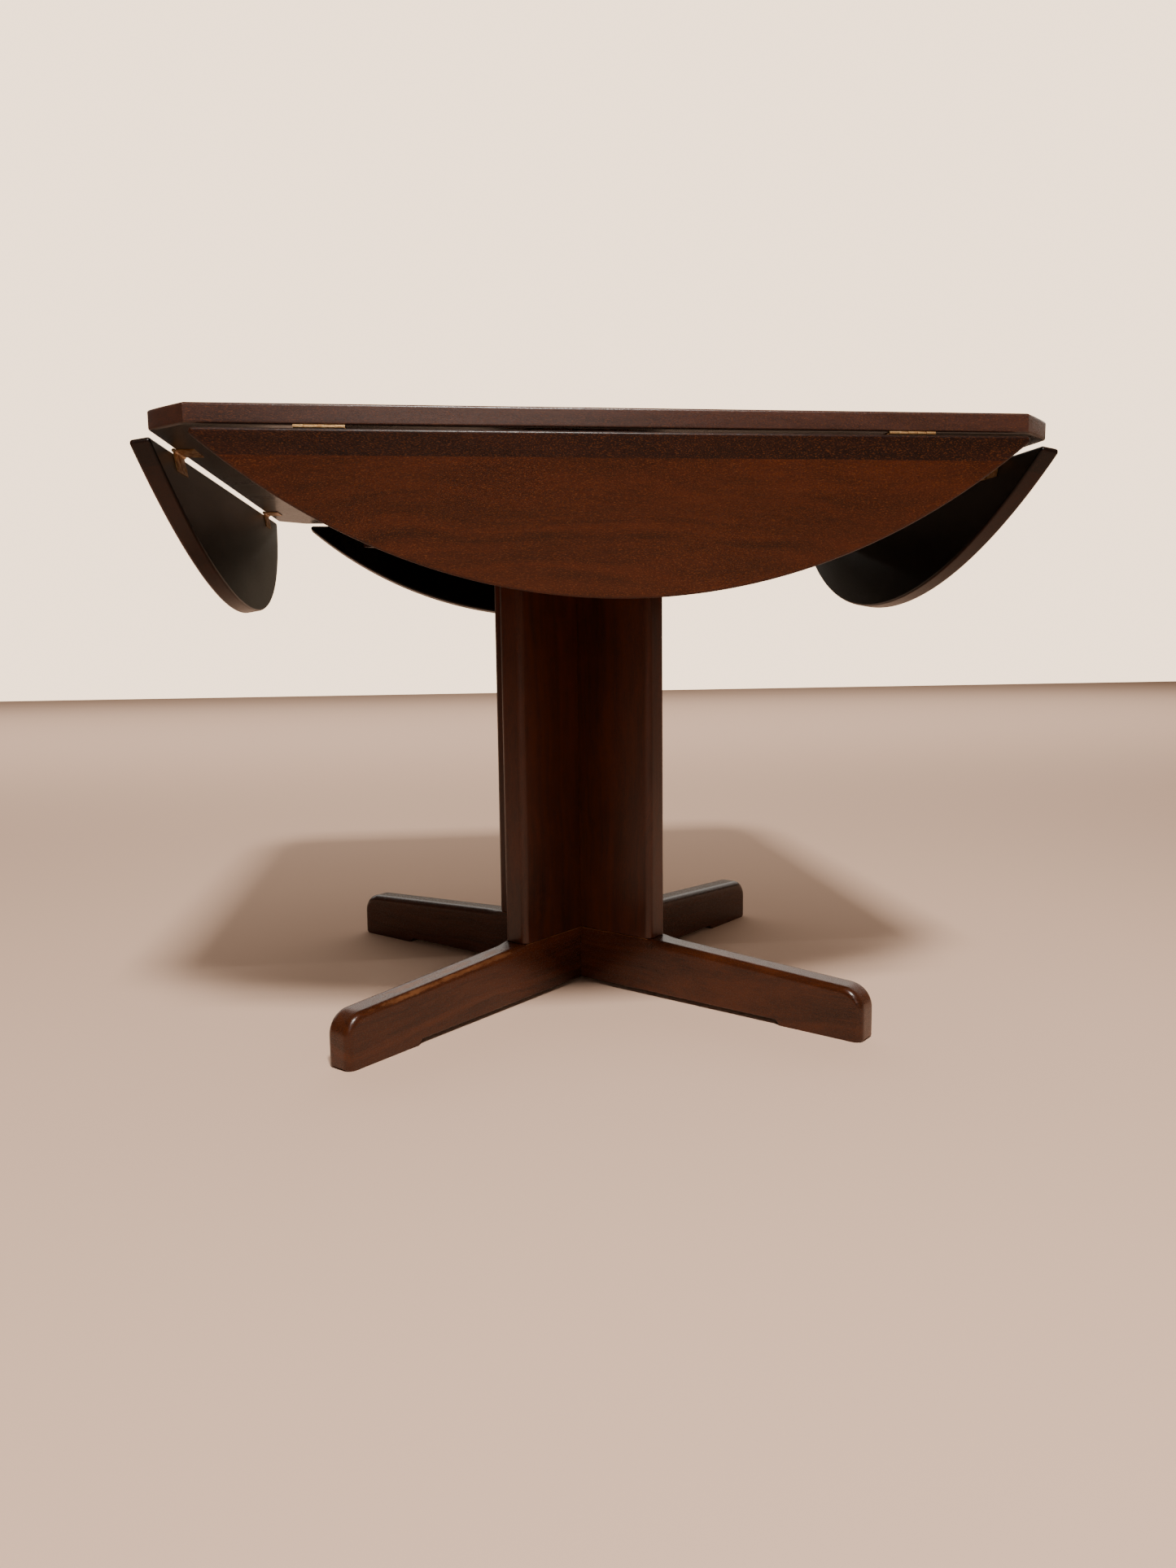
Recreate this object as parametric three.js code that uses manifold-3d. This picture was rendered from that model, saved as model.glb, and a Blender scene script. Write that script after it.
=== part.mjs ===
// A square pedestal table whose four hanging leaves lift to make a round top.
//
// The top is a square with its corners trimmed to the circle that the raised leaves
// complete. Each leaf hangs by two brass butt hinges. The base is a cross of foot rails,
// a column of boards in the same cross, and an upper cross that carries a ball-bearing
// swivel and four sliding bearers. To lay the table round, the leaves are lifted, the top
// is turned an eighth of a turn and the bearers are drawn out under the leaves.
//
// Millimetres, +Z up. The origin is on the floor under the middle of the column. The
// front faces -Y. The two crosses lie on the diagonals of the top.

import * as THREE from 'three';
import { mergeVertices } from 'three/addons/utils/BufferGeometryUtils.js';
import Module from 'manifold-3d';

// ---------------------------------------------------------------- driving dimensions

const TABLE_HEIGHT = 737;        // floor to the top surface
const TOP_SIDE = 950;            // square top, edge to edge
const CORNER_TRIM = 43;          // cut off each side's ends, where the round passes
const PANEL_THICKNESS = 21;      // top and leaves
const PANEL_ARRIS = 3;           // roundover on the edges of the top and leaves
const LEAF_TIP_RADIUS = 4;       // rounding of each leaf's two sharp ends
const LEAF_EDGE_GAP = 1.4;       // between top and leaf edges when the leaf is up

const HINGE_LENGTH = 50;
const HINGE_INSET = 171.5;       // hinge centre to the corner of the untrimmed square
const HINGE_FLAP_WIDTH = 22;     // pin centre to the flap's far edge
const HINGE_FLAP_THICKNESS = 1.2;
const HINGE_PIN_RADIUS = 1.2;
const HINGE_KNUCKLE_RADIUS = 2.3;
const HINGE_KNUCKLES = 5;        // three on the top's flap, two on the leaf's

const BOARD_THICKNESS = 39;      // foot rails, column boards and upper rails
const COLUMN_REACH = 144;        // column centre to the end of each of its four arms
const COLUMN_ARRIS = 9;

const FOOT_REACH = 463;          // column centre to the end of each foot
const FOOT_HEIGHT = 83;          // at the column
const FOOT_END_HEIGHT = 67;      // where the sloping top would meet the end
const FOOT_END_RADIUS = 30;      // nose of the foot, seen from the side
const FOOT_ARRIS = 9;            // roundover along the top and round the nose
const FOOT_RUN_OUT = 27;         // length in which the roundover dies out by the column
const FOOT_RUN_OUT_INSET = 6;    // how far it reaches in under the column board
const FOOT_CHAMFER = 3;          // lower edge of the nose
const FOOT_RELIEF = 7;           // hollow under the middle of each rail
const FOOT_PAD_LENGTH = 113;     // outer part that stands on the floor

const ARM_CLEARANCE = 45;        // upper rail ends to the plane of the hinge pins
const ARM_DEPTH = 45;            // at the column
const ARM_END_DEPTH = 30;

const BEARER_THICKNESS = 20;
const BEARER_CLEARANCE = 35;     // coach screw to the bearer's inner end when pushed in
const BEARER_NOSE = 30;          // raised end that carries the leaf
const BEARER_NOSE_RISE = 5.1;
const BEARER_RAMP = 8;
const BEARER_TONGUE_INSET = 10;  // end of the tongue to the middle of the slot's end
const TONGUE_WIDTH = 12;
const TONGUE_DEPTH = 7.7;
const GUIDE_SCREW_INSET = 45;    // guide screw to the end of its rail

const HUB_RADIUS = 120;
const HUB_BORE_RADIUS = 15;
const SWIVEL_RADIUS = 100;
const SWIVEL_PLATE = 2.5;        // thickness of each plate
const SWIVEL_BALL_GAP = 2.7;     // between the two plates
const BALL_RING_RADIUS = 87;
const BALL_RING_WIDTH = 6;
const RIVET_RADIUS = 6;
const RIVET_FLANGE_RADIUS = 12;
const RIVET_FLANGE = 1.6;
const RIVET_RECESS_RADIUS = 13.5; // shallow hole in the underside of the top

const COACH_SCREW_RADIUS = 4;
const COACH_SCREW_INSET = 25;    // from the rim of the hub disc, which covers the heads
const COACH_SCREW_GRIP = 58;     // length inside the column board
const SCREW_HOLE_SPARE = 2;      // hole beyond the tip of a screw
const COACH_HEAD_RADIUS = 7.5;
const COACH_HEAD_HEIGHT = 5.3;
const COACH_FLANGE_RADIUS = 10;
const COACH_FLANGE = 1.6;
const LOWER_COUNTERBORE = 12;
const UPPER_COUNTERBORE = 8;
const COUNTERBORE_RADIUS = 12;
const GUIDE_SCREW_RADIUS = 3;
const GUIDE_SCREW_GRIP = 18;     // length inside the rail
const GUIDE_HEAD_RADIUS = 7;
const GUIDE_HEAD_HEIGHT = 3.4;

const SEAT_GAP = 0.3;            // between faces that rest on one another
const FIT_GAP = 0.3;             // around a shaft, tongue or lapped rail, each side
const SLOT_GAP = 0.5;            // guide screw to the side of its slot
const BEARER_RUNNING_GAP = 0.6;  // bearer nose to the underside of the top

// ---------------------------------------------------------------- sizes that follow

const HALF_SIDE = TOP_SIDE / 2;
const ROUND_RADIUS = Math.hypot(HALF_SIDE, HALF_SIDE - CORNER_TRIM);
const HINGE_CENTRE = HALF_SIDE - HINGE_INSET;
const UNDERSIDE = TABLE_HEIGHT - PANEL_THICKNESS;
const HALF_BOARD = BOARD_THICKNESS / 2;
const PIN_DROP = HINGE_FLAP_THICKNESS + SEAT_GAP;    // wood face to the pin's axis
const PIN_HEIGHT = UNDERSIDE - PIN_DROP;
const HINGE_BORE_RADIUS = HINGE_PIN_RADIUS + FIT_GAP;

const HUB_TOP = UNDERSIDE - SWIVEL_BALL_GAP - 2 * SWIVEL_PLATE - 2 * SEAT_GAP;
const BEARER_TOP = UNDERSIDE - BEARER_RUNNING_GAP - BEARER_NOSE_RISE;
const BEARER_BOTTOM = BEARER_TOP - BEARER_THICKNESS;
const ARM_TOP = BEARER_BOTTOM - SEAT_GAP;
const ARM_BOTTOM = ARM_TOP - ARM_DEPTH;
const COLUMN_BOTTOM = FOOT_HEIGHT + SEAT_GAP;
const COLUMN_TOP = ARM_BOTTOM - SEAT_GAP;
const ARM_REACH = HALF_SIDE - ARM_CLEARANCE;
const COACH_SCREW_PLACE = HUB_RADIUS - COACH_SCREW_INSET;
const BEARER_START = COACH_SCREW_PLACE + BEARER_CLEARANCE;
const BEARER_LENGTH = ARM_REACH - BEARER_START;
const BEARER_TRAVEL = BEARER_LENGTH / 2;
const GROOVE_DEPTH = TONGUE_DEPTH + 2 * FIT_GAP;
const GUIDE_SCREW_PLACE = ARM_REACH - GUIDE_SCREW_INSET;
const FOOT_SLOPE = (FOOT_HEIGHT - FOOT_END_HEIGHT) / (FOOT_REACH - COLUMN_REACH);

const WOOD_DARK = { color: 0x3a1f14, roughness: 0.38, metalness: 0 };
const WOOD_WARM = { color: 0x54291a, roughness: 0.36, metalness: 0 };
const PLYWOOD = { color: 0x7a5b3c, roughness: 0.7, metalness: 0 };
const BRASS = { color: 0xb8935a, roughness: 0.32, metalness: 1 };
const ZINC = { color: 0x9a9b98, roughness: 0.4, metalness: 1 };

// ---------------------------------------------------------------- solid modelling

const wasm = await Module();
wasm.setup();

function solidOf(geometry) {
  const bare = geometry.clone();
  bare.deleteAttribute('normal');
  bare.deleteAttribute('uv');
  const merged = mergeVertices(bare, 1e-4);
  const vertProperties = new Float32Array(merged.attributes.position.array);
  const triVerts = new Uint32Array(merged.index.array);
  return new wasm.Manifold(new wasm.Mesh({ numProp: 3, vertProperties, triVerts }));
}

function geometryOf(solid) {
  const { vertProperties, triVerts } = solid.getMesh();
  const geometry = new THREE.BufferGeometry();
  geometry.setAttribute('position', new THREE.BufferAttribute(vertProperties, 3));
  geometry.setIndex(new THREE.BufferAttribute(triVerts, 1));
  return geometry;
}

function cut(geometry, ...cutters) {
  const solid = cutters.reduce((rest, tool) => rest.subtract(solidOf(tool)), solidOf(geometry));
  return geometryOf(solid);
}

function join(geometry, ...others) {
  const solid = others.reduce((sum, other) => sum.add(solidOf(other)), solidOf(geometry));
  return geometryOf(solid);
}

// Points along an arc of n steps, ends included. Angles in radians, anticlockwise.
function arc(x, y, radius, from, to, n) {
  return Array.from({ length: n + 1 }, (_, i) => {
    const angle = from + ((to - from) * i) / n;
    return new THREE.Vector2(x + radius * Math.cos(angle), y + radius * Math.sin(angle));
  });
}

// A closed outline in XY given its thickness along Z, starting at z = bottom.
function slab(points, bottom, thickness) {
  const shape = new THREE.Shape(points);
  const geometry = new THREE.ExtrudeGeometry(shape, { depth: thickness, bevelEnabled: false });
  return geometry.translate(0, 0, bottom);
}

// The same, with a roundover of the given radius on both faces' edges.
function easedSlab(points, bottom, thickness, radius, steps = 2) {
  const geometry = new THREE.ExtrudeGeometry(new THREE.Shape(points), {
    depth: thickness - 2 * radius,
    bevelEnabled: true,
    bevelThickness: radius,
    bevelSize: radius,
    bevelOffset: -radius,
    bevelSegments: steps,
  });
  return geometry.translate(0, 0, bottom + radius);
}

// A board on edge: an outline of (reach, height) points, with its thickness across Y.
function board(points, thickness) {
  return slab(points, -thickness / 2, thickness).rotateX(Math.PI / 2);
}

function box(x0, x1, y0, y1, z0, z1) {
  const geometry = new THREE.BoxGeometry(x1 - x0, y1 - y0, z1 - z0);
  return geometry.translate((x0 + x1) / 2, (y0 + y1) / 2, (z0 + z1) / 2);
}

// An upright cylinder between two heights, at (x, 0).
function post(radius, x, z0, z1, sides = 12) {
  const geometry = new THREE.CylinderGeometry(radius, radius, z1 - z0, sides);
  return geometry.rotateX(Math.PI / 2).translate(x, 0, (z0 + z1) / 2);
}

// A cylinder lying along X between two places.
function rod(radius, x0, x1, sides = 10) {
  const geometry = new THREE.CylinderGeometry(radius, radius, x1 - x0, sides);
  return geometry.rotateZ(Math.PI / 2).translate((x0 + x1) / 2, 0, 0);
}

// A turned piece: closed profile of [radius, height] points, spun about Z.
function turned(profile, sides = 32) {
  const points = [...profile, profile[0]].map(([r, z]) => new THREE.Vector2(r, z));
  return new THREE.LatheGeometry(points, sides).rotateX(Math.PI / 2);
}

function piece(name, geometry, finish) {
  const mesh = new THREE.Mesh(geometry, new THREE.MeshStandardMaterial(finish));
  mesh.name = name;
  return mesh;
}

// ---------------------------------------------------------------- base

const ARMS = [
  { name: 'front_right', degrees: -45 },
  { name: 'back_right', degrees: 45 },
  { name: 'back_left', degrees: 135 },
  { name: 'front_left', degrees: 225 },
];

const LOWER_SCREW_SEAT = FOOT_RELIEF + LOWER_COUNTERBORE;
const UPPER_SCREW_SEAT = ARM_TOP - UPPER_COUNTERBORE;

// A pair of holes on a rail's two arms, each a bore and a counterbore.
function coachScrewHoles(boreFrom, boreTo, counterFrom, counterTo) {
  return [-COACH_SCREW_PLACE, COACH_SCREW_PLACE].flatMap((x) => [
    post(COACH_SCREW_RADIUS + FIT_GAP, x, boreFrom, boreTo),
    post(COUNTERBORE_RADIUS, x, counterFrom, counterTo, 16),
  ]);
}

// The rounded nose of a foot, seen from the side, from its sloping top down to its end.
function footNose() {
  const lean = Math.atan(FOOT_SLOPE);
  const topAtNose = FOOT_END_HEIGHT + FOOT_SLOPE * FOOT_END_RADIUS;
  const noseZ = topAtNose - FOOT_END_RADIUS / Math.cos(lean);
  return arc(FOOT_REACH - FOOT_END_RADIUS, noseZ, FOOT_END_RADIUS, Math.PI / 2 - lean, 0, 5);
}

// Half of a foot rail's side outline, from the column out along the top and back below.
function footOutline() {
  const padStart = FOOT_REACH - FOOT_PAD_LENGTH;
  return [
    new THREE.Vector2(COLUMN_REACH, FOOT_HEIGHT),
    ...footNose(),
    new THREE.Vector2(FOOT_REACH, FOOT_CHAMFER),
    new THREE.Vector2(FOOT_REACH - FOOT_CHAMFER, 0),
    new THREE.Vector2(padStart, 0),
    new THREE.Vector2(padStart - FOOT_RELIEF, FOOT_RELIEF),
  ];
}

function mirrored(half) {
  return half.map((p) => new THREE.Vector2(-p.x, p.y)).reverse();
}

// What the roundover leaves of a foot rail: a body with eased edges that goes on down
// below the floor, and rises clear of the rail beside the column, where the easing ends.
function easedFoot() {
  const start = COLUMN_REACH - FOOT_RUN_OUT_INSET;
  const end = start + FOOT_RUN_OUT;
  const half = [
    new THREE.Vector2(start, FOOT_HEIGHT + FOOT_ARRIS),
    new THREE.Vector2(end, FOOT_HEIGHT - FOOT_SLOPE * (end - COLUMN_REACH)),
    ...footNose(),
    new THREE.Vector2(FOOT_REACH, -2 * FOOT_ARRIS),
  ];
  const outline = [...mirrored(half), ...half];
  const body = easedSlab(outline, -HALF_BOARD, BOARD_THICKNESS, FOOT_ARRIS, 4);
  return body.rotateX(Math.PI / 2);
}

// The outline's other half, and the half-lap notch where the two rails cross.
function lapped(half, notchFloor, fromAbove) {
  const reach = HALF_BOARD + FIT_GAP;
  const face = fromAbove ? half[0].y : half[half.length - 1].y;
  const notch = [[-reach, face], [-reach, notchFloor], [reach, notchFloor], [reach, face]];
  const corners = notch.map(([x, z]) => new THREE.Vector2(x, z));
  return fromAbove
    ? [...mirrored(half), ...corners, ...half]
    : [...half, ...corners.reverse(), ...mirrored(half)];
}

function footRail(fromAbove) {
  const middle = FOOT_HEIGHT / 2 + (fromAbove ? -FIT_GAP : FIT_GAP) / 2;
  const rail = board(lapped(footOutline(), middle, fromAbove), BOARD_THICKNESS);
  const holes = coachScrewHoles(0, FOOT_HEIGHT + 1, 0, LOWER_SCREW_SEAT);
  return geometryOf(solidOf(cut(rail, ...holes)).intersect(solidOf(easedFoot())));
}

// Plan outline of a board with both ends' corners rounded.
function roundedEnds(reach, halfWidth, radius) {
  const quarter = Math.PI / 2;
  const x = reach - radius;
  const y = halfWidth - radius;
  return [
    ...arc(x, -y, radius, -quarter, 0, 3),
    ...arc(x, y, radius, 0, quarter, 3),
    ...arc(-x, y, radius, quarter, 2 * quarter, 3),
    ...arc(-x, -y, radius, 2 * quarter, 3 * quarter, 3),
  ];
}

// Plan outline of a half board: square against the wide one, rounded at its free end.
function roundedEnd(start, reach, halfWidth, radius) {
  const quarter = Math.PI / 2;
  return [
    new THREE.Vector2(start, -halfWidth),
    ...arc(reach - radius, radius - halfWidth, radius, -quarter, 0, 3),
    ...arc(reach - radius, halfWidth - radius, radius, 0, quarter, 3),
    new THREE.Vector2(start, halfWidth),
  ];
}

function columnBoard(outline, screwPlaces) {
  const holes = screwPlaces.flatMap((x) => {
    const radius = COACH_SCREW_RADIUS + FIT_GAP;
    const depth = COACH_SCREW_GRIP + SCREW_HOLE_SPARE;
    return [
      post(radius, x, COLUMN_BOTTOM - 1, COLUMN_BOTTOM + depth),
      post(radius, x, COLUMN_TOP - depth, COLUMN_TOP + 1),
    ];
  });
  return cut(slab(outline, COLUMN_BOTTOM, COLUMN_TOP - COLUMN_BOTTOM), ...holes);
}

function armOutline() {
  return [
    new THREE.Vector2(ARM_REACH, ARM_TOP),
    new THREE.Vector2(ARM_REACH, ARM_TOP - ARM_END_DEPTH),
    new THREE.Vector2(COLUMN_REACH, ARM_BOTTOM),
  ];
}

// Upper rail: lapped like the feet, with a groove in each arm for the bearer's tongue.
function upperRail(fromAbove) {
  const middle = ARM_TOP - ARM_DEPTH / 2 + (fromAbove ? -FIT_GAP : FIT_GAP) / 2;
  const rail = board(lapped(armOutline(), middle, fromAbove), BOARD_THICKNESS);
  const grooveSide = TONGUE_WIDTH / 2 + FIT_GAP;
  const grooveFloor = ARM_TOP - GROOVE_DEPTH;
  const grooveStart = BEARER_START - FIT_GAP;
  const screwHoleFloor = grooveFloor - GUIDE_SCREW_GRIP - SCREW_HOLE_SPARE;
  const cuts = [-1, 1].flatMap((side) => {
    const x = [side * grooveStart, side * (ARM_REACH + 1)].sort((a, b) => a - b);
    return [
      box(x[0], x[1], -grooveSide, grooveSide, grooveFloor, ARM_TOP + 1),
      post(GUIDE_SCREW_RADIUS + FIT_GAP, side * GUIDE_SCREW_PLACE, screwHoleFloor, ARM_TOP),
    ];
  });
  const holes = coachScrewHoles(ARM_BOTTOM - 1, ARM_TOP, UPPER_SCREW_SEAT, ARM_TOP + 1);
  return cut(rail, ...cuts, ...holes);
}

// Hexagon-headed screw standing at (x, 0) with its flange on a seat, pointing up or down.
function coachScrew(seat, tip) {
  const up = Math.sign(tip - seat);
  const spans = [
    [COACH_SCREW_RADIUS, seat - up * SEAT_GAP, tip, 12],
    [COACH_FLANGE_RADIUS, seat - up * (SEAT_GAP + COACH_FLANGE), seat - up * SEAT_GAP, 16],
    [COACH_HEAD_RADIUS, seat - up * (COACH_FLANGE + COACH_HEAD_HEIGHT), seat - up * COACH_FLANGE, 6],
  ];
  const parts = spans.map(([radius, a, b, sides]) =>
    post(radius, COACH_SCREW_PLACE, Math.min(a, b), Math.max(a, b), sides));
  return join(...parts);
}

function guideScrew() {
  const seat = BEARER_TOP + SEAT_GAP;
  const tip = ARM_TOP - GROOVE_DEPTH - GUIDE_SCREW_GRIP;
  const profile = [
    [0, tip],
    [GUIDE_SCREW_RADIUS, tip + GUIDE_SCREW_RADIUS],
    [GUIDE_SCREW_RADIUS, seat],
    [GUIDE_HEAD_RADIUS, seat],
    [GUIDE_HEAD_RADIUS, seat + GUIDE_HEAD_HEIGHT / 3],
    [GUIDE_HEAD_RADIUS * 0.6, seat + GUIDE_HEAD_HEIGHT],
    [0, seat + GUIDE_HEAD_HEIGHT],
  ];
  return turned(profile, 12).translate(GUIDE_SCREW_PLACE, 0, 0);
}

function ring(inner, outer, bottom, top) {
  return turned([[inner, bottom], [outer, bottom], [outer, top], [inner, top]]);
}

const LOWER_PLATE_BOTTOM = HUB_TOP + SEAT_GAP;
const LOWER_PLATE_TOP = LOWER_PLATE_BOTTOM + SWIVEL_PLATE;
const UPPER_PLATE_BOTTOM = LOWER_PLATE_TOP + SWIVEL_BALL_GAP;
const UPPER_PLATE_TOP = UPPER_PLATE_BOTTOM + SWIVEL_PLATE;
const RIVET_HOLE_RADIUS = RIVET_RADIUS + FIT_GAP;
const RIVET_TOP = UPPER_PLATE_TOP + SEAT_GAP + RIVET_FLANGE;

function swivelRivet() {
  const lowerSeat = LOWER_PLATE_BOTTOM - SEAT_GAP;
  return turned([
    [0, lowerSeat - RIVET_FLANGE],
    [RIVET_FLANGE_RADIUS, lowerSeat - RIVET_FLANGE],
    [RIVET_FLANGE_RADIUS, lowerSeat],
    [RIVET_RADIUS, lowerSeat],
    [RIVET_RADIUS, UPPER_PLATE_TOP + SEAT_GAP],
    [RIVET_FLANGE_RADIUS, UPPER_PLATE_TOP + SEAT_GAP],
    [RIVET_FLANGE_RADIUS, RIVET_TOP],
    [0, RIVET_TOP],
  ], 16);
}

function makeBase() {
  const base = new THREE.Group();
  const cross = new THREE.Group();
  const otherWay = new THREE.Group();
  cross.rotation.z = THREE.MathUtils.degToRad(ARMS[0].degrees);
  otherWay.rotation.z = THREE.MathUtils.degToRad(ARMS[1].degrees);

  const wide = roundedEnds(COLUMN_REACH, HALF_BOARD, COLUMN_ARRIS);
  const half = roundedEnd(HALF_BOARD + SEAT_GAP, COLUMN_REACH, HALF_BOARD, COLUMN_ARRIS);
  cross.add(
    piece('foot_rail_a', footRail(true), WOOD_DARK),
    piece('column_board_wide', columnBoard(wide, [-COACH_SCREW_PLACE, COACH_SCREW_PLACE]), WOOD_DARK),
    piece('upper_rail_a', upperRail(true), WOOD_DARK),
  );
  const farHalf = columnBoard(half, [COACH_SCREW_PLACE]);
  const nearHalf = farHalf.clone().rotateZ(Math.PI);
  otherWay.add(
    piece('foot_rail_b', footRail(false), WOOD_DARK),
    piece('column_board_back_right', farHalf, WOOD_DARK),
    piece('column_board_front_left', nearHalf, WOOD_DARK),
    piece('upper_rail_b', upperRail(false), WOOD_DARK),
  );
  for (const { name, degrees } of ARMS) {
    const arm = new THREE.Group();
    arm.rotation.z = THREE.MathUtils.degToRad(degrees);
    const lowerTip = COLUMN_BOTTOM + COACH_SCREW_GRIP;
    const upperTip = COLUMN_TOP - COACH_SCREW_GRIP;
    arm.add(
      piece(`foot_screw_${name}`, coachScrew(LOWER_SCREW_SEAT, lowerTip), ZINC),
      piece(`arm_screw_${name}`, coachScrew(UPPER_SCREW_SEAT, upperTip), ZINC),
      piece(`guide_screw_${name}`, guideScrew(), ZINC),
    );
    base.add(arm);
  }
  const hub = ring(HUB_BORE_RADIUS, HUB_RADIUS, ARM_TOP + SEAT_GAP, HUB_TOP);
  const lowerPlate = ring(RIVET_HOLE_RADIUS, SWIVEL_RADIUS, LOWER_PLATE_BOTTOM, LOWER_PLATE_TOP);
  const ringInner = BALL_RING_RADIUS - BALL_RING_WIDTH / 2;
  const ballRing = ring(ringInner, ringInner + BALL_RING_WIDTH,
    LOWER_PLATE_TOP + FIT_GAP, UPPER_PLATE_BOTTOM - FIT_GAP);
  base.add(
    cross,
    otherWay,
    piece('hub_disc', hub, PLYWOOD),
    piece('swivel_lower_plate', lowerPlate, ZINC),
    piece('swivel_ball_ring', ballRing, ZINC),
    piece('swivel_rivet', swivelRivet(), ZINC),
  );
  return base;
}

// ---------------------------------------------------------------- sliding bearers

// Side outline from the inner end: flat top, ramp up to the nose, and an undercut end.
function bearer() {
  const noseTop = UNDERSIDE - BEARER_RUNNING_GAP;
  const noseStart = BEARER_LENGTH - BEARER_NOSE;
  const undercut = BEARER_THICKNESS / 2;
  const outline = [
    [0, BEARER_BOTTOM],
    [BEARER_LENGTH - undercut, BEARER_BOTTOM],
    [BEARER_LENGTH, BEARER_BOTTOM + undercut],
    [BEARER_LENGTH, BEARER_TOP],
    [BEARER_LENGTH - BEARER_RAMP, noseTop],
    [noseStart, noseTop],
    [noseStart - BEARER_RAMP, BEARER_TOP],
    [0, BEARER_TOP],
  ].map(([s, z]) => new THREE.Vector2(s, z));
  const slotRadius = GUIDE_SCREW_RADIUS + SLOT_GAP;
  const slotIn = GUIDE_SCREW_PLACE - BEARER_START;
  const slotOut = slotIn - BEARER_TRAVEL;
  const tongue = box(0, slotOut - BEARER_TONGUE_INSET, -TONGUE_WIDTH / 2, TONGUE_WIDTH / 2,
    BEARER_BOTTOM - TONGUE_DEPTH, BEARER_BOTTOM + 1);
  const slot = slab([
    ...arc(slotIn, 0, slotRadius, -Math.PI / 2, Math.PI / 2, 6),
    ...arc(slotOut, 0, slotRadius, Math.PI / 2, 1.5 * Math.PI, 6),
  ], BEARER_BOTTOM - TONGUE_DEPTH - 1, BEARER_THICKNESS + TONGUE_DEPTH + 2);
  return cut(join(board(outline, BOARD_THICKNESS), tongue), slot).translate(BEARER_START, 0, 0);
}

function makeBearers() {
  const bearers = new THREE.Group();
  for (const { name, degrees } of ARMS) {
    const mesh = piece(`bearer_${name}`, bearer(), WOOD_DARK);
    mesh.rotation.z = THREE.MathUtils.degToRad(degrees);
    bearers.add(mesh);
  }
  return bearers;
}

// ---------------------------------------------------------------- top, leaves, hinges

// Each side's group is turned so that its +Y points out from the middle of the table.
const SIDES = [
  { name: 'front', degrees: 180 },
  { name: 'right', degrees: -90 },
  { name: 'back', degrees: 0 },
  { name: 'left', degrees: 90 },
];

function topOutline() {
  const corner = Math.acos(HALF_SIDE / ROUND_RADIUS);
  const span = Math.PI / 2 - 2 * corner;
  return [0, 1, 2, 3].flatMap((quarter) => {
    const from = (quarter * Math.PI) / 2 + corner;
    return arc(0, 0, ROUND_RADIUS, from, from + span, 4);
  });
}

function topPanel() {
  const panel = easedSlab(topOutline(), UNDERSIDE, PANEL_THICKNESS, PANEL_ARRIS);
  const recess = post(RIVET_RECESS_RADIUS, 0, UNDERSIDE - 1, RIVET_TOP + FIT_GAP, 16);
  return cut(panel, recess);
}

// Leaf outline about its hinge pin: a straight hinge edge, an arc centred on the table's
// middle, and a small radius at each tip that touches both.
function leafOutline() {
  const tipY = LEAF_EDGE_GAP + LEAF_TIP_RADIUS;
  const toTip = ROUND_RADIUS - LEAF_TIP_RADIUS;
  const tipX = Math.sqrt(toTip ** 2 - (HALF_SIDE + tipY) ** 2);
  const angle = Math.atan2(HALF_SIDE + tipY, tipX);
  const straight = -Math.PI / 2;
  return [
    ...arc(tipX, tipY, LEAF_TIP_RADIUS, straight, angle, 4),
    ...arc(0, -HALF_SIDE, ROUND_RADIUS, angle, Math.PI - angle, 24).slice(1, -1),
    ...arc(-tipX, tipY, LEAF_TIP_RADIUS, Math.PI - angle, Math.PI - straight, 4),
  ];
}

// A free leaf hangs with its weight under the pin. The weight is half a thickness
// outside the inner face, and as far below the pin as the circular segment's centroid.
function hangingTilt() {
  const chord = HALF_SIDE + LEAF_EDGE_GAP;
  const halfChord = Math.sqrt(ROUND_RADIUS ** 2 - chord ** 2);
  const area = ROUND_RADIUS ** 2 * Math.acos(chord / ROUND_RADIUS) - chord * halfChord;
  const centroid = (2 / 3) * halfChord ** 3 / area - HALF_SIDE;
  return Math.atan2(PANEL_THICKNESS / 2 + PIN_DROP, centroid);
}

// One hinge flap about its pin, on the +Y side, with the knuckles whose numbers are given.
function hingeFlap(knuckles) {
  const pitch = HINGE_LENGTH / HINGE_KNUCKLES;
  const plateStart = HINGE_KNUCKLE_RADIUS + FIT_GAP;
  const plate = box(-HINGE_LENGTH / 2, HINGE_LENGTH / 2, plateStart, HINGE_FLAP_WIDTH,
    0, HINGE_FLAP_THICKNESS);
  const rolls = knuckles.flatMap((k) => {
    const from = -HINGE_LENGTH / 2 + k * pitch + (k ? FIT_GAP / 2 : 0);
    const to = -HINGE_LENGTH / 2 + (k + 1) * pitch - (k < HINGE_KNUCKLES - 1 ? FIT_GAP / 2 : 0);
    const web = box(from, to, 0, plateStart + 1, 0, HINGE_FLAP_THICKNESS);
    return [rod(HINGE_KNUCKLE_RADIUS, from, to), web];
  });
  const bore = rod(HINGE_BORE_RADIUS, -HINGE_LENGTH, HINGE_LENGTH);
  return cut(join(plate, ...rolls), bore);
}

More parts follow.
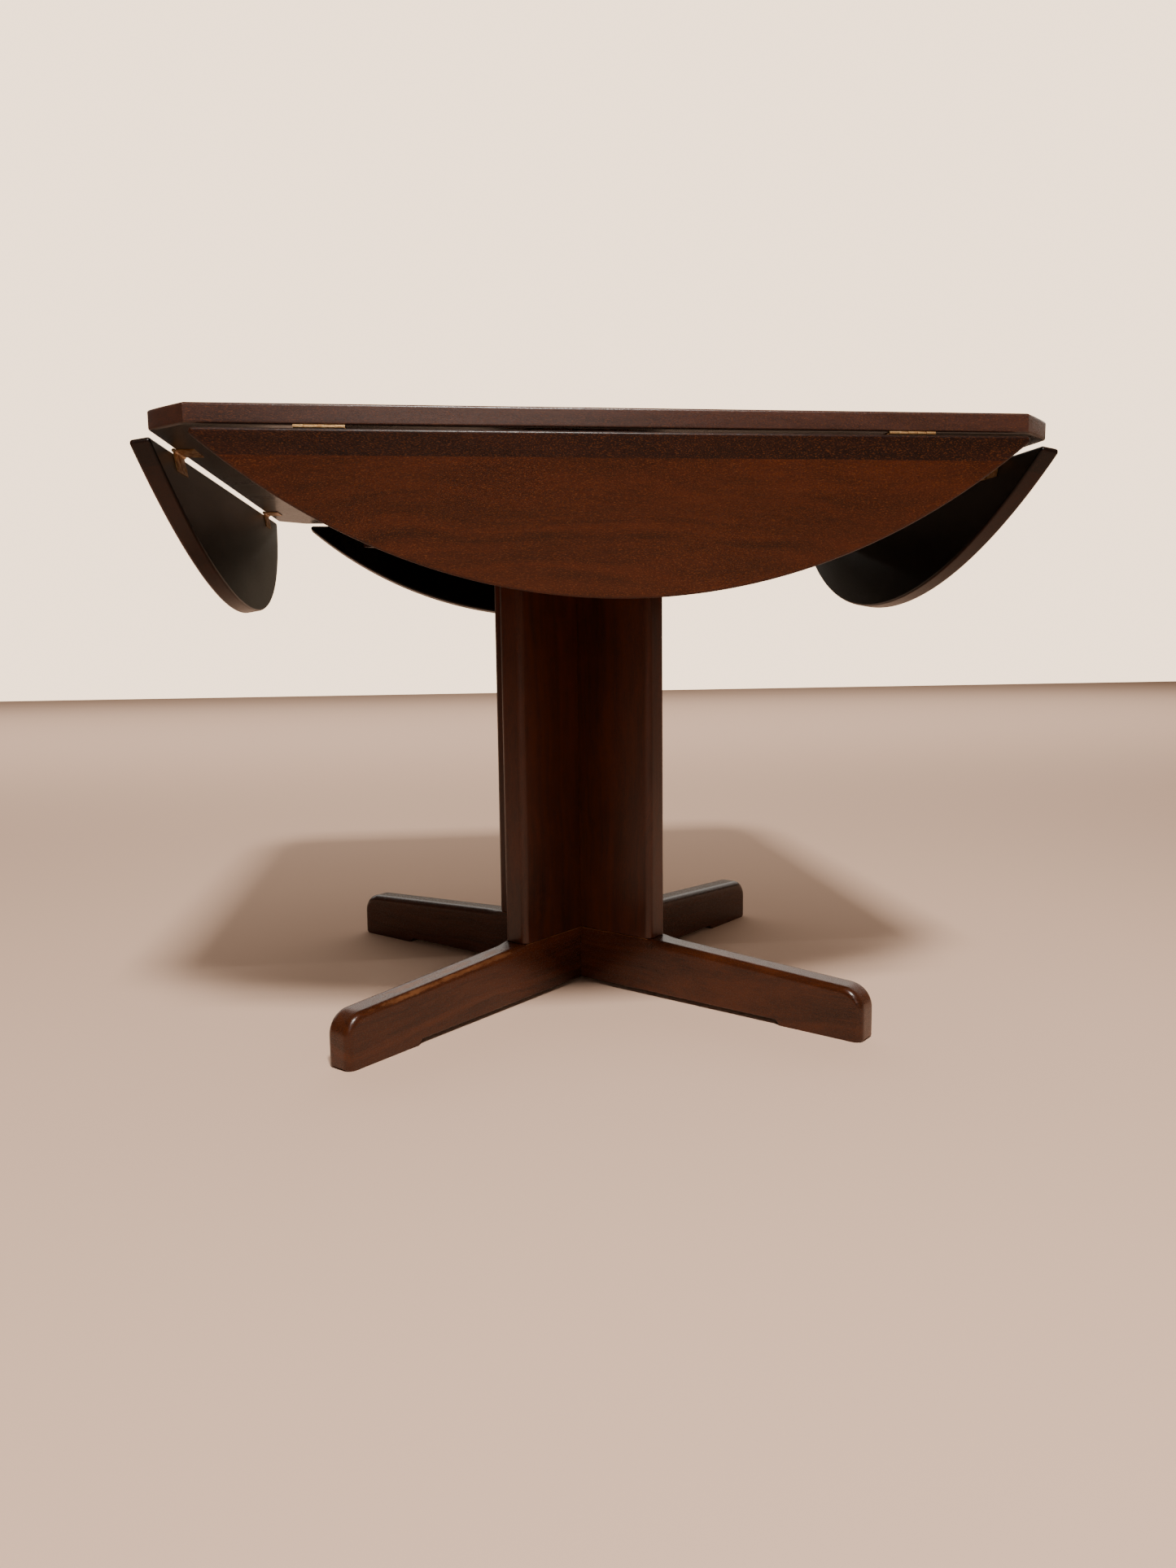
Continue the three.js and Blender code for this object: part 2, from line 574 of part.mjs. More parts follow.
function makeTop() {
  const top = new THREE.Group();
  top.add(piece('top_panel', topPanel(), WOOD_WARM));
  const upperPlate = ring(RIVET_HOLE_RADIUS, SWIVEL_RADIUS, UPPER_PLATE_BOTTOM, UPPER_PLATE_TOP);
  top.add(piece('swivel_upper_plate', upperPlate, ZINC));

  const leaf = easedSlab(leafOutline(), PIN_DROP, PANEL_THICKNESS, PANEL_ARRIS);
  const leafFlap = hingeFlap([1, 3]);
  const topFlap = hingeFlap([0, 2, 4]).rotateZ(Math.PI);
  const pin = rod(HINGE_PIN_RADIUS, -HINGE_LENGTH / 2, HINGE_LENGTH / 2);

  for (const { name, degrees } of SIDES) {
    const side = new THREE.Group();
    side.rotation.z = THREE.MathUtils.degToRad(degrees);
    const hung = new THREE.Group();
    hung.position.set(0, HALF_SIDE, PIN_HEIGHT);
    hung.rotation.x = -(Math.PI / 2 + hangingTilt());
    hung.add(piece(`leaf_${name}`, leaf.clone(), WOOD_WARM));
    for (const [index, place] of [-HINGE_CENTRE, HINGE_CENTRE].entries()) {
      const hinge = `${name}_hinge_${index + 1}`;
      const fixed = piece(`${hinge}_top_flap`, topFlap.clone(), BRASS);
      const moving = piece(`${hinge}_leaf_flap`, leafFlap.clone(), BRASS);
      const axle = piece(`${hinge}_pin`, pin.clone(), BRASS);
      fixed.position.set(place, HALF_SIDE, PIN_HEIGHT);
      moving.position.x = place;
      axle.position.x = place;
      side.add(fixed);
      hung.add(moving, axle);
    }
    side.add(hung);
    top.add(side);
  }
  return top;
}

const group = new THREE.Group();
group.add(makeBase(), makeBearers(), makeTop());

export default group;
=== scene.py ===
import math

import bpy
import numpy as np
from mathutils import Matrix, Vector


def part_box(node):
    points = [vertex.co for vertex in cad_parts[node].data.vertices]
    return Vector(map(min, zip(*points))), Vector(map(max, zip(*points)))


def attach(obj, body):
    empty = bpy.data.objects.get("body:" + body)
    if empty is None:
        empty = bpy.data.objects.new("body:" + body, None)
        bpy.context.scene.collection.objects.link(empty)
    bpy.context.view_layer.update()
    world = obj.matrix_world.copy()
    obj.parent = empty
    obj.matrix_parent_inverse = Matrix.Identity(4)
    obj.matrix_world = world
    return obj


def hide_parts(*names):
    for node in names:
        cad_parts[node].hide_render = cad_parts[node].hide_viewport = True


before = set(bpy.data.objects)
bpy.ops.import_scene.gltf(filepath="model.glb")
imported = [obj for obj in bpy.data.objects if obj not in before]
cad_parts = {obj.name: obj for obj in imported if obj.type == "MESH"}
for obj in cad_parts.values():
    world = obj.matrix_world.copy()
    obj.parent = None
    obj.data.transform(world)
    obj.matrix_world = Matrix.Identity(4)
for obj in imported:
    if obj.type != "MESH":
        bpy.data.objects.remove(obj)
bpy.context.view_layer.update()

# ---------------------------------------------------------------- camera
# A low eye in front of the table and a little to its left, with a wide lens: 25.6 mm on a
# 36 mm sensor. It looks down by 7.5 degrees, to the right by 7 and leans very slightly.

EYE = Vector((-0.1839, -1.6270, 0.5065))
TURN = math.radians(7.021)
TIP = math.radians(7.460)
LEAN = math.radians(-0.649)

ahead = Vector((
    math.sin(TURN) * math.cos(TIP),
    math.cos(TURN) * math.cos(TIP),
    -math.sin(TIP),
))
rightward = Vector((math.cos(TURN), -math.sin(TURN), 0))
upward = rightward.cross(ahead)
side_axis = rightward * math.cos(LEAN) + upward * math.sin(LEAN)
up_axis = upward * math.cos(LEAN) - rightward * math.sin(LEAN)

camera_data = bpy.data.cameras.new("camera")
camera_data.sensor_width = 36
camera_data.lens = 25.603
camera_data.clip_start = 0.05
camera = bpy.data.objects.new("camera", camera_data)
bpy.context.scene.collection.objects.link(camera)
turned = Matrix((side_axis, up_axis, -ahead)).transposed().to_4x4()
camera.matrix_world = Matrix.Translation(EYE) @ turned
bpy.context.scene.camera = camera

# ---------------------------------------------------------------- floor and light
# A plain pale floor in a pale studio, a little darker on the left. The main light hangs high
# in front of the table, so that the top shades the column, and another lights the far floor.


def paint(red, green, blue):
    """A colour given as it shows on a screen, 0 to 255, as the linear colour that nodes take."""
    shown = np.array([red, green, blue]) / 255
    linear = np.where(shown <= 0.04045, shown / 12.92, ((shown + 0.055) / 1.055) ** 2.4)
    return (*linear.tolist(), 1.0)


def add_node(tree, kind, inputs=None, **settings):
    """A new node in the tree. Each input is a constant, or an output socket to link from."""
    made = tree.nodes.new(kind)
    for key, value in settings.items():
        setattr(made, key, value)
    for key, value in (inputs or {}).items():
        if isinstance(value, bpy.types.NodeSocket):
            tree.links.new(value, made.inputs[key])
        else:
            made.inputs[key].default_value = value
    return made


FLOOR_REACH = 9.0
FLOOR_COLOUR = paint(220, 187, 165)

floor_mesh = bpy.data.meshes.new("floor")
corners = [(-1, -1), (1, -1), (1, 1), (-1, 1)]
floor_mesh.from_pydata([(x * FLOOR_REACH, y * FLOOR_REACH, 0) for x, y in corners], [], [(0, 1, 2, 3)])
floor = bpy.data.objects.new("floor", floor_mesh)
bpy.context.scene.collection.objects.link(floor)
floor_finish = bpy.data.materials.new("floor")
floor_finish.use_nodes = True
floor_shader = floor_finish.node_tree.nodes["Principled BSDF"]
floor_shader.inputs["Base Color"].default_value = FLOOR_COLOUR
floor_shader.inputs["Roughness"].default_value = 0.9
floor_shader.inputs["Specular IOR Level"].default_value = 0.1
floor_mesh.materials.append(floor_finish)


def soft_light(name, place, aim, width, height, power, colour=(1, 0.94, 0.87)):
    """A rectangular soft light at a place, turned to face the aim."""
    data = bpy.data.lights.new(name, "AREA")
    data.shape = "RECTANGLE"
    data.size = width
    data.size_y = height
    data.energy = power
    data.color = colour
    light = bpy.data.objects.new(name, data)
    bpy.context.scene.collection.objects.link(light)
    way = Vector(aim) - Vector(place)
    facing = way.to_track_quat("-Z", "Y").to_matrix().to_4x4()
    light.matrix_world = Matrix.Translation(Vector(place)) @ facing
    return light


soft_light("main", (0.05, -2.3, 3.2), (0, 0, 0.3), 0.45, 0.45, 202)
soft_light("overhead", (0.0, 0.8, 3.4), (0, 0, 0.4), 2.4, 2.4, 12)
soft_light("far floor", (0.0, 5.0, 2.2), (0, 5.0, 0), 13.0, 5.0, 330)
soft_light("front", (-0.1, -3.6, 1.35), (0, 0, 0.75), 1.3, 0.6, 8)

BACK_ROOM = paint(250, 220, 188)
FRONT_ROOM = paint(206, 182, 160)
world = bpy.data.worlds.new("studio")
world.use_nodes = True
bpy.context.scene.world = world
sky = world.node_tree
sky.nodes.clear()
toward = add_node(sky, "ShaderNodeTexCoord").outputs["Generated"]
apart = add_node(sky, "ShaderNodeSeparateXYZ", {"Vector": toward}).outputs
depth = apart["Y"]
side = add_node(sky, "ShaderNodeMapRange", {"Value": apart["X"], "From Min": -0.7, "From Max": 0.7,
                                            "To Min": 0.13, "To Max": 0.33},
                interpolation_type="SMOOTHSTEP").outputs["Result"]
share = add_node(sky, "ShaderNodeMapRange", {"Value": depth, "From Min": -0.2, "From Max": 0.7},
                 interpolation_type="SMOOTHSTEP").outputs["Result"]
room = add_node(sky, "ShaderNodeMix", {"Factor": share, "A": FRONT_ROOM, "B": BACK_ROOM},
                data_type="RGBA")
lit = add_node(sky, "ShaderNodeBackground", {"Color": room.outputs["Result"], "Strength": side})
seen = add_node(sky, "ShaderNodeBackground", {"Color": BACK_ROOM, "Strength": 3.3})
sight = add_node(sky, "ShaderNodeLightPath").outputs["Is Camera Ray"]
both = add_node(sky, "ShaderNodeMixShader", {0: sight, 1: lit.outputs[0], 2: seen.outputs[0]})
add_node(sky, "ShaderNodeOutputWorld", {"Surface": both.outputs[0]})

# ---------------------------------------------------------------- foot rails
# Two rails of stained mahogany, halved together where they cross. Sawn to shape with a
# sloping top and a rounded nose, then rounded over along the top from a short run-out
# beside the column. Shoes and a vacuum cleaner have rubbed the lacquer off the arrises.

DIAGONAL_A = math.radians(-45)
DIAGONAL_B = math.radians(45)


def flat_side(outline, steps):
    """More points along an outline: each straight run is parted into steps of at most that length."""
    rows = []
    for here, there in zip(outline, np.roll(outline, -1, 0)):
        count = max(1, math.ceil(np.linalg.norm(there - here) / steps))
        part = np.arange(count)[:, None] / count
        rows.append(here + (there - here) * part)
    return np.vstack(rows)


def bow(x, y, radius, start, end, steps):
    """Points on an arc about (x, y), both ends included, angles in degrees, anticlockwise."""
    turn = np.radians(np.linspace(start, end, steps + 1))
    return np.column_stack([x + radius * np.cos(turn), y + radius * np.sin(turn)])


def eased_board(outline, half, ease, flat, steps=6, rub=1.0, across=0.0, level=False):
    """A board sawn to an anticlockwise outline, with both faces' edges rounded over.

    At outline point p, with outward normal n and roundover e, the skin passes through
    p - n e (1 - sin a), at h - e (1 - cos a) off the middle of the thickness, as a goes from
    0 on the face to 90 degrees on the edge. One more ring lies flat on each side of the
    roundover. Nearness is sin 2a halfway up from a half, 1 in the middle of the roundover, and
    is across in the middle of the edge. Where level is true the edge is pulled in level.
    """
    before = outline - np.roll(outline, 1, 0)
    after = np.roll(outline, -1, 0) - outline
    normals = [np.column_stack([d[:, 1], -d[:, 0]]) / np.linalg.norm(d, axis=1)[:, None]
               for d in (before, after)]
    mitre = (normals[0] + normals[1]) / (1 + (normals[0] * normals[1]).sum(1))[:, None]
    sideways = np.column_stack([np.sign(outline[:, 0]), 0 * outline[:, 0]])
    mitre = np.where(np.broadcast_to(level, len(outline))[:, None], sideways, mitre)
    ease = np.broadcast_to(ease, len(outline))[:, None]
    flat = np.broadcast_to(flat, len(outline))[:, None]
    a = np.linspace(0, math.pi / 2, steps + 1)[None, :]
    inset = np.hstack([ease + flat, ease * (1 - np.sin(a)), ease * 0])
    middle = np.maximum(half - ease - flat, 0.2 * (half - ease))
    off = np.hstack([ease * 0 + half, half - ease * (1 - np.cos(a)), middle])
    near = np.hstack([ease * 0, 0.5 + 0.5 * np.sin(2 * a) + ease * 0, ease * 0 + across])
    near = near * np.broadcast_to(rub, len(outline))[:, None]
    inset = np.hstack([inset, inset[:, ::-1]]).T
    off = np.hstack([off, -off[:, ::-1]]).T
    near = np.hstack([near, near[:, ::-1]]).T
    plan = outline[None] - mitre[None] * inset[:, :, None]
    points = np.dstack([plan, off])
    return points, near


def skin(points):
    """Quads between neighbouring rings of a (rings, around) grid, and a face over each end ring."""
    rings, around = points.shape[:2]
    k, i = np.meshgrid(np.arange(rings - 1), np.arange(around), indexing="ij")
    j = (i + 1) % around
    quads = np.stack([k * around + i, (k + 1) * around + i, (k + 1) * around + j, k * around + j], -1)
    ends = [list(range(around)), list(range(rings * around - 1, (rings - 1) * around - 1, -1))]
    return quads.reshape(-1, 4).tolist() + ends


def make_piece(name, points, faces, board, near, crease=38):
    """A mesh object from arrays, with board coordinates and nearness to an arris as attributes."""
    mesh = bpy.data.meshes.new(name)
    mesh.from_pydata(points.reshape(-1, 3).tolist(), [], faces)
    along = mesh.attributes.new("board", "FLOAT_VECTOR", "POINT")
    along.data.foreach_set("vector", np.ascontiguousarray(board, np.float32).ravel())
    rubbed = mesh.attributes.new("arris", "FLOAT", "POINT")
    rubbed.data.foreach_set("value", np.ascontiguousarray(near, np.float32).ravel())
    mesh.shade_smooth()
    mesh.set_sharp_from_angle(angle=math.radians(crease))
    made = bpy.data.objects.new(name, mesh)
    bpy.context.scene.collection.objects.link(made)
    weighted = made.modifiers.new("even_normals", "WEIGHTED_NORMAL")
    weighted.keep_sharp = True
    return made


def turn_about_z(points, angle):
    """The points turned about the table's upright axis."""
    c, s = math.cos(angle), math.sin(angle)
    return points @ np.array([[c, s, 0], [-s, c, 0], [0, 0, 1]])


def grain_group():
    """Shader group for mahogany. Its vector is (along, across, thick) in metres in the board.

    Growth layers are a noise of the distance from a pith outside the board, bent by a slow
    wander along the grain. Fibres are a noise stretched 24 times along the grain, and pores
    and flecks are short dashes picked out of two more by a threshold.
    """
    group = bpy.data.node_groups.new("mahogany_grain", "ShaderNodeTree")
    sockets = [
        ("Board", "NodeSocketVector"), ("Light", "NodeSocketColor"), ("Dark", "NodeSocketColor"),
        ("Fleck", "NodeSocketColor"), ("Fleck Share", "NodeSocketFloat"), ("Gloss", "NodeSocketFloat"),
    ]
    for label, kind in sockets:
        group.interface.new_socket(label, in_out="INPUT", socket_type=kind)
    for label, kind in (
        ("Color", "NodeSocketColor"), ("Roughness", "NodeSocketFloat"), ("Height", "NodeSocketFloat"),
    ):
        group.interface.new_socket(label, in_out="OUTPUT", socket_type=kind)
    given = add_node(group, "NodeGroupInput").outputs

    def maths(operation, a, b=0.0, c=0.0):
        return add_node(group, "ShaderNodeMath", {0: a, 1: b, 2: c}, operation=operation).outputs[0]

    def stretched(scale, detail, vector=given["Board"]):
        scaled = add_node(group, "ShaderNodeVectorMath", {0: vector, 1: scale}, operation="MULTIPLY")
        return add_node(group, "ShaderNodeTexNoise",
                        {"Vector": scaled.outputs[0], "Scale": 1.0, "Detail": detail}).outputs["Fac"]

    def window(value, low, high):
        return add_node(group, "ShaderNodeMapRange", {"Value": value, "From Min": low, "From Max": high},
                        interpolation_type="SMOOTHSTEP").outputs["Result"]

    def blend_colour(mode, share, a, b):
        return add_node(group, "ShaderNodeMix", {"Factor": share, "A": a, "B": b},
                        data_type="RGBA", blend_type=mode).outputs["Result"]

    wander = stretched((2.4, 5.0, 5.0), 2.0)
    apart = add_node(group, "ShaderNodeSeparateXYZ", {"Vector": given["Board"]}).outputs
    from_pith = maths("SQRT", maths("ADD",
        maths("POWER", maths("ADD", apart["Y"], 0.31), 2.0),
        maths("POWER", maths("ADD", apart["Z"], 0.17), 2.0)))
    layer = maths("MULTIPLY_ADD", wander, 0.085, from_pith)
    rings = add_node(group, "ShaderNodeTexNoise",
                     {"W": maths("MULTIPLY", layer, 95.0), "Detail": 3.0, "Scale": 1.0},
                     noise_dimensions="1D").outputs["Fac"]
    sway = maths("MULTIPLY", maths("SUBTRACT", wander, 0.5), 0.15)
    swayed = add_node(group, "ShaderNodeCombineXYZ", {
        "X": apart["X"],
        "Y": maths("ADD", apart["Y"], sway),
        "Z": maths("ADD", apart["Z"], sway),
    }).outputs[0]
    cloud = stretched((5.0, 14.0, 14.0), 3.0)
    ribbon = stretched((9.0, 85.0, 85.0), 2.0, swayed)
    fibre = stretched((34.0, 800.0, 800.0), 2.0, swayed)
    dash = stretched((420.0, 1900.0, 1900.0), 1.0, swayed)
    fleck = stretched((420.0, 1700.0, 1700.0), 1.0, swayed)

    tone = maths("MULTIPLY_ADD", rings, 0.24, maths("MULTIPLY", ribbon, 0.26))
    tone = maths("ADD", tone, maths("MULTIPLY_ADD", fibre, 0.30, maths("MULTIPLY", cloud, 0.36)))
    tone = window(tone, 0.34, 0.80)
    colour = blend_colour("MIX", tone, given["Dark"], given["Light"])
    pores = window(dash, 0.57, 0.70)
    colour = blend_colour("MULTIPLY", maths("MULTIPLY", pores, 0.55), colour, (0.26, 0.20, 0.17, 1))
    pale = maths("MULTIPLY", window(fleck, 0.54, 0.70), given["Fleck Share"])
    colour = blend_colour("MIX", pale, colour, given["Fleck"])
    duller = maths("MULTIPLY_ADD", pores, 0.14, maths("MULTIPLY", cloud, 0.08))
    rough = maths("ADD", given["Gloss"], duller)
    height = maths("SUBTRACT", maths("MULTIPLY", fibre, 0.35), pores)
    add_node(group, "NodeGroupOutput", {"Color": colour, "Roughness": rough, "Height": height})
    return group


def wear_group():
    """Shader group for lacquer rubbed through along an arris.

    The mask is a soft step of nearness + amount + 1.1 x a noise drawn out along the board, and
    stops at three quarters, so that some stain is left in the pores.
    """
    group = bpy.data.node_groups.new("rubbed_arris", "ShaderNodeTree")
    for label, kind in (
        ("Board", "NodeSocketVector"), ("Arris", "NodeSocketFloat"), ("Amount", "NodeSocketFloat"),
    ):
        group.interface.new_socket(label, in_out="INPUT", socket_type=kind)
    group.interface.new_socket("Mask", in_out="OUTPUT", socket_type="NodeSocketFloat")
    given = add_node(group, "NodeGroupInput").outputs
    drawn = add_node(group, "ShaderNodeVectorMath", {0: given["Board"], 1: (26.0, 80.0, 80.0)},
                     operation="MULTIPLY").outputs[0]
    patch = add_node(group, "ShaderNodeTexNoise",
                     {"Vector": drawn, "Scale": 1.0, "Detail": 7.0, "Roughness": 0.80}).outputs["Fac"]
    ragged = add_node(group, "ShaderNodeMath", {0: patch, 1: 1.1, 2: given["Arris"]},
                      operation="MULTIPLY_ADD").outputs[0]
    reach = add_node(group, "ShaderNodeMath", {0: ragged, 1: given["Amount"]},
                     operation="ADD").outputs[0]
    mask = add_node(group, "ShaderNodeMapRange",
                    {"Value": reach, "From Min": 1.75, "From Max": 2.20, "To Max": 0.75},
                    interpolation_type="SMOOTHSTEP").outputs["Result"]
    add_node(group, "NodeGroupOutput", {"Mask": mask})
    return group


GRAIN = grain_group()
WEAR = wear_group()
LIPPING_SHIFT = (7.3, 3.1, 5.7)


def wood_finish(name, light, dark, fleck, fleck_share, gloss, worn, wear,
                shine=0.35, turned_by=None, lipping=None, under=None):
    """Stained, lacquered wood. It reads the board and arris attributes, or with turned_by it
    reads object coordinates turned about Z, for a board that lies along that angle.

    Lipping is (edge in metres, light, dark): the wood nearer the hinge edge than that.
    Under is the shares of its colour that its rim, and then the side which faces down, keep; this is
    painted shade.
    """
    finish = bpy.data.materials.new(name)
    finish.use_nodes = True
    tree = finish.node_tree
    shader = tree.nodes["Principled BSDF"]
    if turned_by is None:
        board = add_node(tree, "ShaderNodeAttribute", attribute_name="board").outputs["Vector"]
        arris = add_node(tree, "ShaderNodeAttribute", attribute_name="arris").outputs["Fac"]
    else:
        placed = add_node(tree, "ShaderNodeTexCoord").outputs["Object"]
        board = add_node(tree, "ShaderNodeMapping",
                         {"Vector": placed, "Rotation": (0, 0, -turned_by)}).outputs[0]
        arris = 0.0

    def grain_of(vector, light, dark):
        return add_node(tree, "ShaderNodeGroup", {
            "Board": vector, "Light": light, "Dark": dark, "Fleck": fleck,
            "Fleck Share": fleck_share, "Gloss": gloss}, node_tree=GRAIN).outputs

    grain = grain_of(board, light, dark)
    colour, height = grain["Color"], grain["Height"]
    if lipping:
        edge, lip_light, lip_dark = lipping
        moved = add_node(tree, "ShaderNodeVectorMath", {0: board, 1: LIPPING_SHIFT},
                         operation="ADD").outputs[0]
        lip = grain_of(moved, lip_light, lip_dark)
        inward = add_node(tree, "ShaderNodeAttribute", attribute_name="inward").outputs["Fac"]
        strip = add_node(tree, "ShaderNodeMapRange", {"Value": inward, "From Min": edge + 0.0006,
                                                       "From Max": edge - 0.0006}).outputs["Result"]
        colour = add_node(tree, "ShaderNodeMix", {"Factor": strip, "A": colour, "B": lip["Color"]},
                          data_type="RGBA").outputs["Result"]
    # Painted shade: the rim, and then the side which faces down, are multiplied darker as if in shadow.
    if under:
        level = add_node(tree, "ShaderNodeAttribute", attribute_name="level").outputs["Fac"]
        for start, end, share in ((0.97, 0.70, under[0]), (-0.80, -0.97, under[1])):
            below = add_node(tree, "ShaderNodeMapRange",
                             {"Value": level, "From Min": start, "From Max": end}).outputs[0]
            painted_shade = (share, share, share, 1.0)
            colour = add_node(tree, "ShaderNodeMix", {"Factor": below, "A": colour, "B": painted_shade},
                              data_type="RGBA", blend_type="MULTIPLY").outputs["Result"]
    rubbed = add_node(tree, "ShaderNodeGroup", {"Board": board, "Arris": arris, "Amount": wear},
                      node_tree=WEAR).outputs["Mask"]
    colour = add_node(tree, "ShaderNodeMix", {"Factor": rubbed, "A": colour, "B": worn},
                      data_type="RGBA").outputs["Result"]
    rough = add_node(tree, "ShaderNodeMath", {0: rubbed, 1: 0.22, 2: grain["Roughness"]},
                     operation="MULTIPLY_ADD").outputs[0]
    bump = add_node(tree, "ShaderNodeBump",
                    {"Height": height, "Strength": 0.16, "Distance": 0.0004}).outputs["Normal"]
    for label, value in (("Base Color", colour), ("Roughness", rough), ("Normal", bump)):
        tree.links.new(value, shader.inputs[label])
    shader.inputs["Specular IOR Level"].default_value = shine
    return finish


FOOT_WOOD = wood_finish("foot_mahogany", paint(76, 36, 16), paint(34, 14, 6), paint(112, 66, 36), 0.20,
                        0.20, paint(124, 78, 46), 0.32)

RAIL_HALF = 0.0195
LAP_HALF = 0.0198
LAP_FLOORS = (0.04135, 0.04165)
FOOT_HIGH = 0.083
FOOT_LOW = 0.067
COLUMN_REACH = 0.144
FOOT_REACH = 0.463
NOSE_RADIUS = 0.030
RELIEF = 0.007
PAD_START = 0.350
FOOT_ARRIS = 0.009
RUN_OUT_START = 0.138
RUN_OUT_END = 0.165
SAWN_EASE = 0.0012
JOINT_EASE = 0.0011
FLOOR_EDGE = 0.0005
NOSE_EDGE = FOOT_REACH - 0.0035
NOSE_CLEAR = 0.440


def foot_outline(from_above):
    """Side outline of a whole rail, anticlockwise from the right pad: pads, nose, slope, lap notch."""
    slope = (FOOT_HIGH - FOOT_LOW) / (FOOT_REACH - COLUMN_REACH)
    lean = math.degrees(math.atan(slope))
    nose_x = FOOT_REACH - NOSE_RADIUS
    nose_z = FOOT_LOW + slope * NOSE_RADIUS - NOSE_RADIUS / math.cos(math.radians(lean))
    right = np.vstack([
        [[PAD_START - RELIEF, RELIEF], [PAD_START, 0], [FOOT_REACH - 0.003, 0], [FOOT_REACH, 0.003]],
        bow(nose_x, nose_z, NOSE_RADIUS, 0, 90 - lean, 14),
        [[COLUMN_REACH, FOOT_HIGH]],
    ])
    left = (right * [-1, 1])[::-1]
    face = FOOT_HIGH if from_above else RELIEF
    depth = LAP_FLOORS[0] if from_above else LAP_FLOORS[1]
    lap = np.array([[LAP_HALF, face], [LAP_HALF, depth], [-LAP_HALF, depth], [-LAP_HALF, face]])
    rows = [right, lap, left] if from_above else [right, left, lap[::-1]]
    return flat_side(np.vstack(rows), 0.009)


def foot_rail(name, angle, from_above, shift, worn):
    """One rail: its roundover runs out beside the column, and carries on down the nose to the floor.

    Worn is how rubbed the left and right halves are; along the joint line at the column the top arris is
    always painted a pale line in the worn colour.
    """
    outline = foot_outline(from_above)
    reach, height = np.abs(outline[:, 0]), outline[:, 1]
    kept = (height > FLOOR_EDGE) | (reach < NOSE_CLEAR) | (reach > NOSE_EDGE)
    outline, reach, height = outline[kept], reach[kept], height[kept]
    upright_edge = (reach > NOSE_EDGE) & (height < FOOT_LOW - NOSE_RADIUS)
    round_nose = (reach > FOOT_REACH - NOSE_RADIUS / 2) & (height > 0.001) | upright_edge
    underneath = (height < FLOOR_EDGE) & ~upright_edge
    on_top = height > 0.045
    grown = np.interp(reach, [RUN_OUT_START, RUN_OUT_END], [JOINT_EASE, FOOT_ARRIS])
    ease = np.where(on_top, grown, SAWN_EASE)
    ease = np.where(round_nose, FOOT_ARRIS, ease)
    ease = np.where(reach < LAP_HALF + 0.004, 0.0006, ease)
    flat = np.where(reach < COLUMN_REACH, 0.002, 0.005)
    ease = np.where(underneath, 0.0003, ease)
    flat = np.where(underneath, 0.0010, flat)
    side = np.where(outline[:, 0] < 0, worn[0], worn[1])
    rub = np.where(on_top, side * np.interp(reach, [0.14, 0.18, 0.38, 0.44], [0.7, 1.0, 1.0, 0.8]), 0.4)
    # A pale line painted along the top arris beside the column, at the joint.
    rub = np.where(on_top & (reach < RUN_OUT_START), 1.6, rub)
    points, near = eased_board(outline, RAIL_HALF, ease, flat, rub=rub, across=0.92, level=upright_edge)
    board = points + np.array(shift)
    upright = turn_about_z(points[..., [0, 2, 1]] * [1, -1, 1], angle)
    return make_piece(name, upright, skin(points), board, near)


for label, angle, from_above, shift, worn in (
    ("a", DIAGONAL_A, True, (0.4, 0.05, 0.02), (0.70, 0.86)),
    ("b", DIAGONAL_B, False, (2.1, 0.33, 0.11), (1.14, 0.70)),
):
    rail = foot_rail(f"shaped_foot_rail_{label}", angle, from_above, shift, worn)
    rail.data.materials.append(FOOT_WOOD)
    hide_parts(f"foot_rail_{label}")
    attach(rail, "base")

# ---------------------------------------------------------------- column
# One wide mahogany board and two half boards glued to its faces, the same thickness as the
# rails, so that the column is a cross standing on the feet. The free upright edges are
# rounded over by about 9 mm, and the grain runs up.

COLUMN_WOOD = wood_finish("column_mahogany", paint(74, 33, 14), paint(33, 13, 6), paint(98, 60, 36), 0.16,
                          0.26, paint(112, 64, 34), 0.12)
COLUMN_ARRIS = 0.009
GLUE_GAP = 0.0003
END_EASE = 0.0008

column_low, column_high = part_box("column_board_wide")


